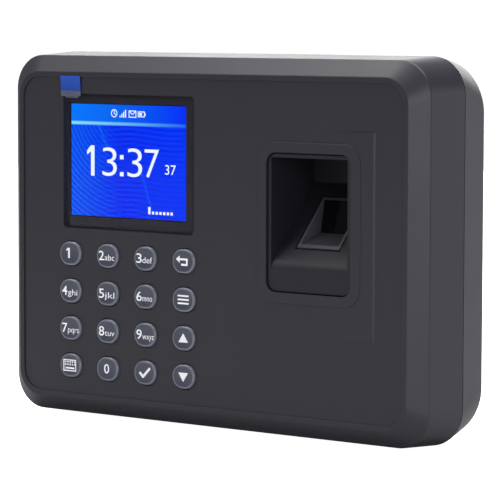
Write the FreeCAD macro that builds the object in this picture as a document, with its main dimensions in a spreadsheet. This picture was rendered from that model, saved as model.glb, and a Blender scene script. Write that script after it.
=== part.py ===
"""Fingerprint time-attendance terminal: two moulded shells on a steel wall bracket.

The frame: the wall is the plane Y = 0, the terminal faces -Y, +Z is up and X = 0 is its middle.
A "height" below is a distance in front of the wall, so a height of h lies at Y = -h.
"""
import FreeCAD, Part
import math
import os
import re

import Sketcher
from FreeCAD import Placement, Rotation, Vector

doc = FreeCAD.newDocument("terminal")

# ---------------------------------------------------------------- driving dimensions, millimetres
DIMENSIONS = {
    # shells: outline sizes at each height, seen from the front
    "wall_gap": 0.5, "seam_height": 15.5, "edge_height": 34.9, "rim_height": 40.5,
    "seam_gap": 0.4, "back_width": 193.6, "back_tall": 136.6, "back_corner": 20.0,
    "seam_width": 196.0, "seam_tall": 139.0, "seam_corner": 14.0,
    "edge_width": 193.6, "edge_tall": 136.6, "edge_corner": 13.0,
    "rim_width": 181.6, "rim_tall": 124.6, "rim_corner": 10.0,
    "shell_wall": 2.2, "panel_wall": 2.4, "back_wall": 2.5, "shell_round": 0.7, "back_round": 1.8,
    # how far a boss is rooted in the wall it grows from, and how far a cut starts clear of its face
    "root": 0.2, "overcut": 5.0,
    "rim_land": 2.0, "panel_step": 0.6, "lip_wall": 1.2, "lip_rise": 2.0, "lip_clear": 0.2,
    # display window
    "window_x": -36.8, "window_z": 28.35, "window_width": 63.9, "window_tall": 51.2,
    "window_corner": 2.0, "pane_sink": 0.8, "pane_thick": 1.0, "pane_ledge": 1.2, "pane_clear": 0.15,
    "view_corner": 1.0, "film_thick": 0.12, "film_inset": 1.0, "film_corner": 1.2,
    # the film's pull tab: a foot on the film, then a flap bent out over the panel
    "tab_width": 10.6, "tab_tall": 8.4, "tab_thick": 0.15, "tab_lift": 0.35, "tab_left": -70.0,
    "tab_foot": 6.5, "tab_grip": 0.9, "tab_bend": 1.4,
    "lcd_x": -38.75, "lcd_z": 28.87, "lcd_width": 69.2, "lcd_tall": 50.0, "lcd_thick": 2.4,
    "lcd_gasket": 0.3, "gasket_inset": 0.3, "tray_sheet": 0.5, "tray_clear": 0.1, "tray_floor": 0.8,
    "flex_width": 20.0, "flex_slot": 1.0,
    # keypad
    "keys_x": -36.98, "keys_z": -28.33, "key_pitch_x": 18.52, "key_pitch_z": 14.29,
    "key_width": 10.5, "key_tall": 9.1, "key_corner": 4.4, "key_gap": 0.35, "key_rise": 1.0,
    "key_flange": 1.0, "key_flange_thick": 0.8, "key_stem": 2.0, "key_travel": 0.8,
    "key_round": 0.5, "flange_gap": 0.1, "stem_gap": 0.2,
    "mat_height": 33.2, "mat_thick": 1.0, "mat_margin": 3.5, "mat_corner": 2.5, "mat_hole": 2.2,
    "board_thick": 1.6, "keypad_boss": 1.9, "keypad_bore": 0.85, "keypad_bore_deep": 3.4,
    "keypad_hole": 1.1, "small_head": 1.9, "small_head_thick": 1.2, "keypad_shank": 0.82,
    # finger opening, the raised frame round it and the low ridge beside the frame
    "finger_x": 47.75, "finger_z": 9.5, "finger_width": 37.5, "finger_tall": 50.4,
    "finger_corner": 4.0, "frame_margin_x": 4.1, "frame_margin_z": 3.8, "frame_rise": 0.6,
    "frame_corner": 7.0, "frame_round": 0.22, "ridge_x": 76.2, "ridge_foot": 24.0, "ridge_fall": 0.6,
    "ridge_low_z": -31.0, "ridge_high_z": 42.85, "ridge_rise": 0.45,
    # finger guide: depths are measured back from the rim, levels are Z
    "guide_clear": 0.3, "guide_wall": 1.5, "guide_flange": 2.0, "guide_sink": 0.8,
    "guide_depth": 28.6, "guide_flange_depth": 3.3, "well_depth": 27.0, "ramp_foot": -5.4,
    "ramp_angle": 47.0, "ramp_wall": 1.6, "ramp_round": 6.0, "guide_round": 0.3, "guide_screw_x": 12.5,
    "guide_screw_rise": 5.4, "guide_bore": 0.9, "guide_bore_deep": 8.0, "ledge_low_depth": 2.0,
    "ledge_high_depth": 24.2, "ledge_half": 2.5,
    # sensor: frame in the ramp, window, prism and camera board
    "sensor_low_depth": 5.6, "sensor_high_depth": 23.0, "sensor_width": 18.8, "sensor_slot": 0.7,
    "sensor_wall": 1.0, "glass_low_depth": 19.3, "glass_low_z": 4.9, "glass_tilt": 11.0,
    "glass_tall": 12.2, "glass_thick": 1.2, "glass_clear": 0.05, "glass_groove": 0.4,
    "light_inset": 0.8, "prism_inset": 1.0, "prism_end": 1.2, "sensor_back_depth": 27.4,
    "sensor_skirt": 3.0, "sensor_bar_half": 15.5, "sensor_bar_thick": 3.0, "sensor_board_thick": 1.2,
    "sensor_board_tall": 29.2, "sensor_shank": 0.87,
    # main board and what it carries
    "board_height": 5.2, "board_low_x": -76.0, "board_high_x": 22.0, "board_low_z": -56.0,
    "board_high_z": 50.0, "board_corner": 2.0, "post_radius": 3.2, "post_inset": 6.0,
    "post_bore": 0.95, "post_bore_deep": 2.4, "board_hole": 1.2, "board_head": 2.2,
    "board_head_thick": 1.5, "board_shank": 0.92, "screw_bore": 1.25,
    "usb_x": -24.0, "usb_width": 13.2, "usb_tall": 5.8, "usb_depth": 14.0, "usb_sheet": 0.35,
    "usb_tongue_side": 1.1, "usb_tongue_thick": 1.8, "usb_tongue_set": 0.8,
    "port_z": -67.2, "port_gap": 0.5, "jack_x": -48.0, "jack_width": 9.0, "jack_tall": 8.2,
    "jack_depth": 13.5, "jack_bore": 2.85, "jack_bore_deep": 11.0, "jack_pin": 1.0,
    "jack_pin_set": 2.5, "jack_set": 1.5, "jack_opening": 3.85, "coin_radius": 10.0,
    "coin_thick": 3.2, "coin_x": 2.0, "coin_z": 20.0, "holder_wall": 1.4, "holder_floor": 0.8,
    "holder_clear": 0.2, "holder_rise": 1.0,
    # speaker
    "speaker_x": 68.0, "speaker_z": -40.0, "speaker_radius": 14.0, "speaker_thick": 5.4,
    "grille_pitch": 4.2, "grille_hole": 0.9, "gasket_thick": 0.8, "gasket_ring": 2.0,
    "basket_thick": 2.2, "magnet_radius": 8.4,
    # fasteners and wall bracket
    "case_screw_x": 84.0, "case_screw_z": 56.0, "case_boss": 3.8, "case_shank": 1.2,
    "case_hole": 1.7, "case_head": 2.8, "case_head_hole": 3.1, "case_floor": 5.0,
    "case_head_thick": 1.8, "case_screw_long": 20.0, "case_screw_grip": 8.0, "case_drive": 0.9,
    "rear_boss": 5.0,
    "bracket_width": 110.0, "bracket_tall": 76.0, "bracket_thick": 1.5, "bracket_corner": 5.0,
    "bracket_clear": 0.5, "bracket_fit": 0.2, "bracket_hole": 2.3, "bracket_span_x": 84.0,
    "bracket_span_z": 50.0, "cable_hole_width": 18.0, "cable_hole_tall": 14.0,
    "cable_hole_corner": 4.0, "cable_hole_z": 22.0,
    "hook_x": 34.0, "hook_z": 28.0, "hook_width": 8.0, "hook_reach": 4.5, "hook_thick": 1.2,
    "hook_up": 5.0, "slot_drop": 5.2, "slot_clear": 0.5,
    "lug_width": 12.0, "lug_reach": 9.0, "lug_z": -62.0, "lock_radius": 1.4, "lock_head": 2.7,
    "lock_height": 6.6, "lock_clear": 0.4, "lock_fit": 0.05, "lock_head_thick": 1.4, "lock_stand": 0.9,
}

sheet = doc.addObject("Spreadsheet::Sheet", "dims")
for row, (alias, value) in enumerate(DIMENSIONS.items(), start=1):
    sheet.set("A%d" % row, alias)
    sheet.set("B%d" % row, str(value))
    sheet.setAlias("B%d" % row, alias)
doc.recompute()

WORD = re.compile(r"[a-z][a-z_]+")


def bound(text):
    """The expression with every dimension name pointed at the sheet."""
    return WORD.sub(lambda m: "dims." + m.group(0) if m.group(0) in DIMENSIONS else m.group(0), str(text))


def number(text):
    """The value, in millimetres, that an expression has now."""
    return float(sheet.evalExpression(bound(text)))


def bind(thing, **properties):
    for name, text in properties.items():
        thing.setExpression(name.replace("__", "."), bound(text))


# ---------------------------------------------------------------- how sketches and features are made
def body(label):
    made = doc.addObject("PartDesign::Body", label)
    made.Label = label
    return made


def sketch(owner, name, offset="0", role="XZ_Plane"):
    """A sketch on an origin plane moved along its normal: -Y for XZ_Plane, +X for YZ_Plane, +Z for XY_Plane."""
    made = owner.newObject("Sketcher::SketchObject", name)
    plane = next(item for item in owner.Origin.OriginFeatures if item.Role == role)
    made.AttachmentSupport = [(plane, "")]
    made.MapMode = "FlatFace"
    bind(made, AttachmentOffset__Base__z=offset)
    return made


def hold(drawing, kind, text, *where):
    """Add a dimension constraint and tie it to an expression."""
    index = drawing.addConstraint(Sketcher.Constraint(kind, *where, number(text)))
    drawing.setExpression("Constraints[%d]" % index, bound(text))


def outline(drawing, width, tall, corner, middle_x="0", middle_z="0"):
    """A rounded rectangle: corner arcs counter-clockwise from the upper right one, then its sides."""
    x, z, radius = number(middle_x), number(middle_z), number(corner)
    reach_x, reach_z = number(width) / 2 - radius, number(tall) / 2 - radius
    first = drawing.GeometryCount
    for turn, (side, level) in enumerate(((1, 1), (-1, 1), (-1, -1), (1, -1))):
        circle = Part.Circle(Vector(x + side * reach_x, z + level * reach_z, 0), Vector(0, 0, 1), radius)
        drawing.addGeometry(Part.ArcOfCircle(circle, turn * math.pi / 2, (turn + 1) * math.pi / 2))
    for turn in range(4):
        start = drawing.Geometry[first + turn].EndPoint
        end = drawing.Geometry[first + (turn + 1) % 4].StartPoint
        drawing.addGeometry(Part.LineSegment(start, end))
    for turn in range(4):
        line = first + 4 + turn
        drawing.addConstraint(Sketcher.Constraint("Tangent", first + turn, 2, line, 1))
        drawing.addConstraint(Sketcher.Constraint("Tangent", line, 2, first + (turn + 1) % 4, 1))
        drawing.addConstraint(Sketcher.Constraint("Vertical" if turn % 2 else "Horizontal", line))
        if turn:
            drawing.addConstraint(Sketcher.Constraint("Equal", first, first + turn))
    hold(drawing, "Radius", corner, first)
    for arc, sign in ((first, "+"), (first + 2, "-")):
        hold(drawing, "DistanceX", "(%s) %s ((%s) / 2 - (%s))" % (middle_x, sign, width, corner), arc, 3)
        hold(drawing, "DistanceY", "(%s) %s ((%s) / 2 - (%s))" % (middle_z, sign, tall, corner), arc, 3)


def polygon(drawing, points):
    """A closed outline of straight sides through (across, up) pairs of expressions."""
    places = [Vector(number(across), number(up), 0) for across, up in points]
    first = drawing.GeometryCount
    for index, place in enumerate(places):
        drawing.addGeometry(Part.LineSegment(place, places[(index + 1) % len(places)]))
    for index, (across, up) in enumerate(points):
        line = first + index
        following = first + (index + 1) % len(points)
        drawing.addConstraint(Sketcher.Constraint("Coincident", line, 2, following, 1))
        hold(drawing, "DistanceX", across, line, 1)
        hold(drawing, "DistanceY", up, line, 1)


def rectangle(drawing, low_x, high_x, low_z, high_z):
    polygon(drawing, ((low_x, low_z), (high_x, low_z), (high_x, high_z), (low_x, high_z)))


def circle(drawing, x, z, radius):
    index = drawing.addGeometry(Part.Circle(Vector(number(x), number(z), 0), Vector(0, 0, 1), number(radius)))
    hold(drawing, "Radius", radius, index)
    hold(drawing, "DistanceX", x, index, 3)
    hold(drawing, "DistanceY", z, index, 3)


def grow(owner, drawing, length, kind="Pad"):
    """A pad along the sketch's normal, or a pocket against it."""
    made = owner.newObject("PartDesign::" + kind, kind.lower())
    made.Profile = drawing
    bind(made, Length=length)
    return made


def dig(owner, drawing, length):
    return grow(owner, drawing, length, "Pocket")


def loft(owner, drawings, kind="AdditiveLoft"):
    made = owner.newObject("PartDesign::" + kind, kind.lower())
    made.Profile = drawings[0]
    made.Sections = drawings[1:]
    made.Ruled = True
    return made


def soften(owner, feature, heights, radius, kind="Fillet"):
    """Round the edges of a feature that lie wholly at one of these heights."""
    doc.recompute()
    names = []
    for index, edge in enumerate(feature.Shape.Edges, start=1):
        levels = [-vertex.Y for vertex in edge.Vertexes]
        if any(all(abs(level - height) < 1e-4 for level in levels) for height in map(number, heights)):
            names.append("Edge%d" % index)
    made = owner.newObject("PartDesign::" + kind, kind.lower())
    made.Base = (feature, names)
    bind(made, **{"Radius" if kind == "Fillet" else "Size": radius})
    return made


# ---------------------------------------------------------------- how plain solids are made
def block(name, low_x, high_x, low_height, high_height, low_z, high_z):
    made = doc.addObject("Part::Box", name)
    bind(made, Length="(%s) - (%s)" % (high_x, low_x), Width="(%s) - (%s)" % (high_height, low_height),
         Height="(%s) - (%s)" % (high_z, low_z), Placement__Base__x=low_x,
         Placement__Base__y="-(%s)" % high_height, Placement__Base__z=low_z)
    return made


def rod(name, x, z, low_height, high_height, radius):
    """A cylinder that stands out from the wall."""
    made = doc.addObject("Part::Cylinder", name)
    made.Placement = Placement(Vector(), Rotation(Vector(1, 0, 0), 90))
    bind(made, Radius=radius, Height="(%s) - (%s)" % (high_height, low_height), Placement__Base__x=x,
         Placement__Base__y="-(%s)" % low_height, Placement__Base__z=z)
    return made


def fuse(label, pieces):
    made = doc.addObject("Part::MultiFuse", label)
    made.Shapes = pieces
    made.Label = label
    return made


def group(label, pieces):
    """Separate solids that share a node."""
    made = doc.addObject("Part::Compound", label)
    made.Links = pieces
    made.Label = label
    return made


def cut(label, base, tools):
    made = doc.addObject("Part::Cut", label)
    made.Base = base
    made.Tool = tools[0] if len(tools) == 1 else group(label + "_tools", tools)
    made.Label = label
    return made


def corners(x, z, middle_x="0", middle_z="0"):
    """The four places of a rectangular pattern, as pairs of expressions."""
    for side in "+-":
        for level in "+-":
            yield "(%s) %s (%s)" % (middle_x, side, x), "(%s) %s (%s)" % (middle_z, level, z)


nodes = []


def keep(*pieces):
    nodes.extend(pieces)


# ---------------------------------------------------------------- front shell
# A deep lid of moulded plastic. Its wall drafts in from the seam to a 45 degree bevel round the front,
# and the main panel lies a step below the narrow land that the bevel ends in.
panel = "(rim_height - panel_step)"
panel_back = "(rim_height - panel_step - panel_wall)"
front_shell = body("front_shell")
front_base = "seam_height + seam_gap / 2"
outer = [sketch(front_shell, "front_seam", front_base), sketch(front_shell, "front_edge", "edge_height"),
         sketch(front_shell, "front_rim", "rim_height")]
outline(outer[0], "seam_width", "seam_tall", "seam_corner")
outline(outer[1], "edge_width", "edge_tall", "edge_corner")
outline(outer[2], "rim_width", "rim_tall", "rim_corner")
shell_solid = loft(front_shell, outer)
shell_solid = soften(front_shell, shell_solid, ["edge_height", "rim_height"], "shell_round")
inner = [sketch(front_shell, "cavity_seam", front_base),
         sketch(front_shell, "cavity_edge", "edge_height - shell_wall / 2"),
         sketch(front_shell, "cavity_panel", panel_back)]
outline(inner[0], "seam_width - 2 * shell_wall", "seam_tall - 2 * shell_wall", "seam_corner - shell_wall")
outline(inner[1], "edge_width - 2 * shell_wall", "edge_tall - 2 * shell_wall", "edge_corner - shell_wall")
outline(inner[2], "rim_width", "rim_tall", "rim_corner")
loft(front_shell, inner, "SubtractiveLoft")
recess = sketch(front_shell, "panel_recess", "rim_height")
outline(recess, "rim_width - 2 * rim_land", "rim_tall - 2 * rim_land", "rim_corner - rim_land")
dig(front_shell, recess, "panel_step")

# The ridge beside the finger opening: it climbs gently from the left and falls steeply on the right.
ridge = sketch(front_shell, "finger_ridge", "ridge_low_z", "XY_Plane")
polygon(ridge, (("ridge_x - ridge_foot", "-%s + root" % panel), ("ridge_x - ridge_foot", "-%s" % panel),
                ("ridge_x", "-%s - ridge_rise" % panel), ("ridge_x + ridge_fall", "-%s" % panel),
                ("ridge_x + ridge_fall", "-%s + root" % panel)))
grow(front_shell, ridge, "ridge_high_z - ridge_low_z")

# The raised frame round the finger opening, and the opening.
frame_sketch = sketch(front_shell, "finger_frame", panel)
outline(frame_sketch, "finger_width + 2 * frame_margin_x", "finger_tall + 2 * frame_margin_z", "frame_corner",
        "finger_x", "finger_z")
finger_frame = grow(front_shell, frame_sketch, "frame_rise")
finger_frame = soften(front_shell, finger_frame, [panel + " + frame_rise"], "frame_round")
finger_hole = sketch(front_shell, "finger_hole", panel + " + overcut")
outline(finger_hole, "finger_width", "finger_tall", "finger_corner", "finger_x", "finger_z")
dig(front_shell, finger_hole, "2 * overcut")

# The display opening: a seat for the pane, and a smaller opening through the seat.
pane_seat = panel + " - pane_sink - pane_thick"
seat_sketch = sketch(front_shell, "pane_seat", panel + " + overcut")
outline(seat_sketch, "window_width", "window_tall", "window_corner", "window_x", "window_z")
dig(front_shell, seat_sketch, "overcut + pane_sink + pane_thick")
view_sketch = sketch(front_shell, "view_opening", panel)
outline(view_sketch, "window_width - 2 * pane_ledge", "window_tall - 2 * pane_ledge", "view_corner",
        "window_x", "window_z")
dig(front_shell, view_sketch, "overcut")

# Key openings: one, and its pattern across and down.
key_low_x = "keys_x - 1.5 * key_pitch_x"
key_high_z = "keys_z + 1.5 * key_pitch_z"
hole_sketch = sketch(front_shell, "key_opening", panel + " + overcut")
outline(hole_sketch, "key_width + 2 * key_gap", "key_tall + 2 * key_gap", "key_corner + key_gap",
        key_low_x, key_high_z)
key_hole = dig(front_shell, hole_sketch, "panel_wall + 2 * overcut")
doc.recompute()
key_holes = front_shell.newObject("PartDesign::LinearPattern", "key_openings")
key_holes.Originals = [key_hole]
key_holes.Direction = (hole_sketch, ["H_Axis"])
key_holes.Direction2 = (hole_sketch, ["V_Axis"])
key_holes.Reversed2 = True
key_holes.Occurrences = 4
key_holes.Occurrences2 = 4
bind(key_holes, Length="3 * key_pitch_x", Length2="3 * key_pitch_z")
front_shell.Tip = key_holes

# Bosses inside: four for the case screws, four that hold the keypad board.
boss_sketch = sketch(front_shell, "case_bosses", front_base)
for x, z in corners("case_screw_x", "case_screw_z"):
    circle(boss_sketch, x, z, "case_boss")
grow(front_shell, boss_sketch, panel_back + " - (%s) + root" % front_base)
board_boss = sketch(front_shell, "keypad_bosses", "mat_height")
for x, z in corners("key_pitch_x", "key_pitch_z", "keys_x", "keys_z"):
    circle(board_boss, x, z, "keypad_boss")
grow(front_shell, board_boss, panel_back + " - mat_height + root")
bore_sketch = sketch(front_shell, "case_bores", "%s + case_screw_long" % front_base)
for x, z in corners("case_screw_x", "case_screw_z"):
    circle(bore_sketch, x, z, "screw_bore")
dig(front_shell, bore_sketch, "case_screw_long + overcut")
small_bore = sketch(front_shell, "keypad_bores", "mat_height + keypad_bore_deep")
for x, z in corners("key_pitch_x", "key_pitch_z", "keys_x", "keys_z"):
    circle(small_bore, x, z, "keypad_bore")
dig(front_shell, small_bore, "keypad_bore_deep + overcut")
keep(front_shell)

# ---------------------------------------------------------------- rear shell
# A shallow tray that closes the back. Its lip stands inside the front shell.
rear_shell = body("rear_shell")
rear_top = "seam_height - seam_gap / 2"
tray = [sketch(rear_shell, "rear_back", "wall_gap"), sketch(rear_shell, "rear_seam", rear_top)]
outline(tray[0], "back_width", "back_tall", "back_corner")
outline(tray[1], "seam_width", "seam_tall", "seam_corner")
rear_solid = loft(rear_shell, tray)
soften(rear_shell, rear_solid, ["wall_gap"], "back_round")
lip_sketch = sketch(rear_shell, "lip", rear_top)
lip_width = "seam_width - 2 * shell_wall - 2 * lip_clear"
lip_tall = "seam_tall - 2 * shell_wall - 2 * lip_clear"
outline(lip_sketch, lip_width, lip_tall, "seam_corner - shell_wall - lip_clear")
grow(rear_shell, lip_sketch, "lip_rise + seam_gap")
hollow = sketch(rear_shell, "hollow", "%s + lip_rise + seam_gap" % rear_top)
outline(hollow, lip_width + " - 2 * lip_wall", lip_tall + " - 2 * lip_wall",
        "seam_corner - shell_wall - lip_clear - lip_wall")
floor = "(wall_gap + back_wall)"
dig(rear_shell, hollow, "%s + lip_rise + seam_gap - %s" % (rear_top, floor))

# Inside: screw bosses at the corners and posts for the main board.
rear_boss = sketch(rear_shell, "rear_bosses", floor + " - root")
for x, z in corners("case_screw_x", "case_screw_z"):
    circle(rear_boss, x, z, "rear_boss")
grow(rear_shell, rear_boss, rear_top + " - %s + root" % floor)
board_x = "(board_low_x + board_high_x) / 2"
board_z = "(board_low_z + board_high_z) / 2"
post_x = "(board_high_x - board_low_x) / 2 - post_inset"
post_z = "(board_high_z - board_low_z) / 2 - post_inset"
post_sketch = sketch(rear_shell, "board_posts", floor + " - root")
for x, z in corners(post_x, post_z, board_x, board_z):
    circle(post_sketch, x, z, "post_radius")
grow(rear_shell, post_sketch, "board_height - %s + root" % floor)
post_bore = sketch(rear_shell, "post_bores", "board_height")
for x, z in corners(post_x, post_z, board_x, board_z):
    circle(post_bore, x, z, "post_bore")
dig(rear_shell, post_bore, "post_bore_deep")
case_hole = sketch(rear_shell, "case_holes", rear_top + " + overcut")
for x, z in corners("case_screw_x", "case_screw_z"):
    circle(case_hole, x, z, "case_hole")
dig(rear_shell, case_hole, "seam_height + 2 * overcut")
head_hole = sketch(rear_shell, "head_holes", "case_floor")
for x, z in corners("case_screw_x", "case_screw_z"):
    circle(head_hole, x, z, "case_head_hole")
dig(rear_shell, head_hole, "case_floor + overcut")

# The recess that the wall bracket fills, slots for its hooks, and the hole for the lock screw.
bracket_floor = "(bracket_thick + bracket_fit)"
bracket_recess = sketch(rear_shell, "bracket_recess", bracket_floor)
outline(bracket_recess, "bracket_width + 2 * bracket_clear", "bracket_tall + 2 * bracket_clear",
        "bracket_corner + bracket_clear")
dig(rear_shell, bracket_recess, "overcut")
arm_recess = sketch(rear_shell, "arm_recess", bracket_floor)
rectangle(arm_recess, "-lug_width / 2 - bracket_clear", "lug_width / 2 + bracket_clear",
          "lug_z - bracket_clear", "-bracket_tall / 2")
dig(rear_shell, arm_recess, "overcut")
slots = sketch(rear_shell, "hook_slots", floor + " + root")
for x in ("hook_x", "-hook_x"):
    for z in ("hook_z", "-hook_z"):
        rectangle(slots, x + " - hook_width / 2 - slot_clear", x + " + hook_width / 2 + slot_clear",
                  z + " - slot_drop", z + " + hook_thick + bracket_fit / 2")
rectangle(slots, "-lug_width / 2 - slot_clear", "lug_width / 2 + slot_clear", "lug_z - slot_clear",
          "lug_z + bracket_thick + slot_clear")
dig(rear_shell, slots, "back_wall + overcut")
lock_hole = sketch(rear_shell, "lock_hole", "lug_z", "XY_Plane")
circle(lock_hole, "0", "-lock_height", "lock_radius + lock_clear")
dig(rear_shell, lock_hole, "2 * overcut")

# Sound holes behind the speaker: a middle one and a ring of six, then a ring of twelve.
grille = sketch(rear_shell, "grille", floor + " + root")
circle(grille, "speaker_x", "speaker_z", "grille_hole")
for ring, count in ((1, 6), (2, 12)):
    for step in range(count):
        angle = 360.0 * step / count
        circle(grille, "speaker_x + %d * grille_pitch * cos(%.4f * 1deg)" % (ring, angle),
               "speaker_z + %d * grille_pitch * sin(%.4f * 1deg)" % (ring, angle), "grille_hole")
dig(rear_shell, grille, "back_wall + overcut")

# Openings in the bottom edge for the USB socket and the power jack.
board_top = "(board_height + board_thick)"
usb_level = "(%s + usb_tall / 2)" % board_top
jack_level = "(%s + jack_tall / 2)" % board_top
port_sketch = sketch(rear_shell, "port_openings", "-back_tall / 2 + overcut", "XY_Plane")
rectangle(port_sketch, "usb_x - usb_width / 2 - port_gap", "usb_x + usb_width / 2 + port_gap",
          "-%s - usb_tall / 2 - port_gap" % usb_level, "-%s + usb_tall / 2 + port_gap" % usb_level)
circle(port_sketch, "jack_x", "-" + jack_level, "jack_opening")
dig(rear_shell, port_sketch, "2 * overcut")
keep(rear_shell)

# ---------------------------------------------------------------- display
# The clear pane with its protective film and pull tab, then the gasket, the panel and its pressed tray.
pane_front = "(%s - pane_sink)" % panel
display_window = body("display_window")
pane = sketch(display_window, "pane_outline", pane_front)
outline(pane, "window_width - 2 * pane_clear", "window_tall - 2 * pane_clear", "window_corner - pane_clear",
        "window_x", "window_z")
pane_pad = grow(display_window, pane, "pane_thick")
pane_pad.Reversed = True
window_film = body("window_film")
film = sketch(window_film, "film_outline", pane_front)
outline(film, "window_width - 2 * film_inset", "window_tall - 2 * film_inset", "film_corner", "window_x", "window_z")
grow(window_film, film, "film_thick")
film_front = "(%s + film_thick)" % pane_front
film_top = "(window_z + window_tall / 2 - film_inset)"
tab_top = "(%s + tab_tall)" % film_top
film_pull_tab = body("film_pull_tab")
foot_side = sketch(film_pull_tab, "foot_side", "tab_left + (tab_width - tab_foot) / 2", "YZ_Plane")
polygon(foot_side, (("-" + film_front, film_top + " - tab_grip"),
                    ("-%s - tab_thick" % film_front, film_top + " - tab_grip"),
                    ("-%s - tab_lift - tab_thick" % panel, film_top + " + film_inset"),
                    ("-%s - tab_lift - tab_thick" % panel, film_top + " + 2 * film_inset"),
                    ("-%s - tab_lift" % panel, film_top + " + 2 * film_inset"),
                    ("-%s - tab_lift" % panel, film_top + " + film_inset")))
grow(film_pull_tab, foot_side, "tab_foot")
flap_side = sketch(film_pull_tab, "flap_side", "tab_left", "YZ_Plane")
polygon(flap_side, (("-%s - tab_lift" % panel, film_top + " + film_inset"),
                    ("-%s - tab_lift - tab_thick" % panel, film_top + " + film_inset"),
                    ("-%s - tab_lift - tab_thick" % panel, film_top + " + film_inset + tab_bend"),
                    ("-%s - 2 * tab_lift - tab_thick" % panel, tab_top), ("-%s - 2 * tab_lift" % panel, tab_top),
                    ("-%s - tab_lift" % panel, film_top + " + film_inset + tab_bend")))
grow(film_pull_tab, flap_side, "tab_width")

lcd_front = "(%s - lcd_gasket)" % panel_back
lcd_back = "(%s - lcd_thick)" % lcd_front
lcd_left, lcd_right = "lcd_x - lcd_width / 2", "lcd_x + lcd_width / 2"
lcd_low, lcd_high = "lcd_z - lcd_tall / 2", "lcd_z + lcd_tall / 2"
lcd_panel = block("lcd_panel", lcd_left, lcd_right, lcd_back, lcd_front, lcd_low, lcd_high)
gasket_sheet = block("gasket_sheet", "window_x - window_width / 2", lcd_right, lcd_front, panel_back,
                     lcd_low + " + gasket_inset", lcd_high + " - gasket_inset")
gasket_view = block("gasket_view", "window_x - window_width / 2 + pane_ledge",
                    "window_x + window_width / 2 - pane_ledge", lcd_front + " - overcut", panel_back + " + overcut",
                    "window_z - window_tall / 2 + pane_ledge", "window_z + window_tall / 2 - pane_ledge")
window_gasket = cut("window_gasket", gasket_sheet, [gasket_view])
tray_side = "(tray_sheet + tray_clear)"
tray_block = block("tray_block", "%s - %s" % (lcd_left, tray_side), "%s + %s" % (lcd_right, tray_side),
                   lcd_back + " - tray_floor", lcd_front + " - tray_sheet", "%s - %s" % (lcd_low, tray_side),
                   "%s + %s" % (lcd_high, tray_side))
tray_room = block("tray_room", lcd_left + " - tray_clear", lcd_right + " + tray_clear", lcd_back,
                  lcd_front + " + overcut", lcd_low + " - tray_clear", lcd_high + " + tray_clear")
tray_slot = block("tray_slot", "lcd_x - flex_width / 2 - flex_slot", "lcd_x + flex_width / 2 + flex_slot",
                  lcd_back + " - overcut", lcd_back + " + root", "lcd_z - flex_slot", "lcd_z + 3 * flex_slot")
lcd_tray = cut("lcd_tray", tray_block, [tray_room, tray_slot])
keep(display_window, window_film, film_pull_tab, lcd_panel, window_gasket, lcd_tray)

# ---------------------------------------------------------------- keypad
# Sixteen separate caps, each with a flange behind the panel and a stem over the mat. The stem's gap to
# the mat is a little more than the key's travel.
KEY_ROWS = (("key_1", "key_2", "key_3", "key_back"), ("key_4", "key_5", "key_6", "key_menu"),
            ("key_7", "key_8", "key_9", "key_up"), ("key_input", "key_0", "key_confirm", "key_down"))
key_front = panel + " + key_rise"
flange_front = panel_back + " - flange_gap"
stem_back = "(mat_height + mat_thick + key_travel + stem_gap)"
for row, names in enumerate(KEY_ROWS):
    for column, name in enumerate(names):
        middle_x = "(%s + %d * key_pitch_x)" % (key_low_x, column)
        middle_z = "(%s - %d * key_pitch_z)" % (key_high_z, row)
        key = body(name)
        flange = sketch(key, name + "_flange", flange_front + " - key_flange_thick")
        outline(flange, "key_width + 2 * key_flange", "key_tall + 2 * key_flange", "key_corner + key_flange",
                middle_x, middle_z)
        grow(key, flange, "key_flange_thick")
        cap = sketch(key, name + "_cap", flange_front + " - root")
        outline(cap, "key_width", "key_tall", "key_corner", middle_x, middle_z)
        cap_pad = grow(key, cap, "%s - (%s) + root" % (key_front, flange_front))
        soften(key, cap_pad, [key_front], "key_round")
        stem = sketch(key, name + "_stem", stem_back)
        circle(stem, middle_x, middle_z, "key_stem")
        grow(key, stem, "%s - key_flange_thick - %s + root" % (flange_front, stem_back))
        keep(key)
mat_width = "3 * key_pitch_x + key_width + 2 * mat_margin"
mat_tall = "3 * key_pitch_z + key_tall + 2 * mat_margin"
for label, low, thick, hole in (("keypad_mat", "mat_height", "mat_thick", "mat_hole"),
                                ("keypad_board", "mat_height - board_thick", "board_thick", "keypad_hole")):
    layer = body(label)
    layer_sketch = sketch(layer, label + "_outline", low)
    outline(layer_sketch, mat_width, mat_tall, "mat_corner", "keys_x", "keys_z")
    for x, z in corners("key_pitch_x", "key_pitch_z", "keys_x", "keys_z"):
        circle(layer_sketch, x, z, hole)
    grow(layer, layer_sketch, thick)
    keep(layer)
keypad_back = "(mat_height - board_thick)"
keypad_screws = []
for index, (x, z) in enumerate(corners("key_pitch_x", "key_pitch_z", "keys_x", "keys_z")):
    head = rod("keypad_head_%d" % index, x, z, keypad_back + " - small_head_thick", keypad_back, "small_head")
    shank = rod("keypad_shank_%d" % index, x, z, keypad_back + " - root", "mat_height + keypad_bore_deep - root",
                "keypad_shank")
    keypad_screws.append(fuse("keypad_screw_%d" % index, [head, shank]))
keep(group("keypad_screws", keypad_screws))


# ---------------------------------------------------------------- finger guide
# A moulded box behind the finger opening: a short lip, a ramp that climbs back to the rear wall of the
# well, and a window in the ramp for the sensor. Depths run back from the rim.
def behind(depth):
    return "((%s) - rim_height)" % depth


def ramp(depth):
    return "(ramp_foot + ((%s) - guide_sink) * tan(ramp_angle * 1deg))" % depth


def ramp_point(depth, out="0"):
    """A place on the ramp at a depth, moved out of its face along its normal."""
    return (behind("%s - (%s) * sin(ramp_angle * 1deg)" % (depth, out)),
            "%s + (%s) * cos(ramp_angle * 1deg)" % (ramp(depth), out))


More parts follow.
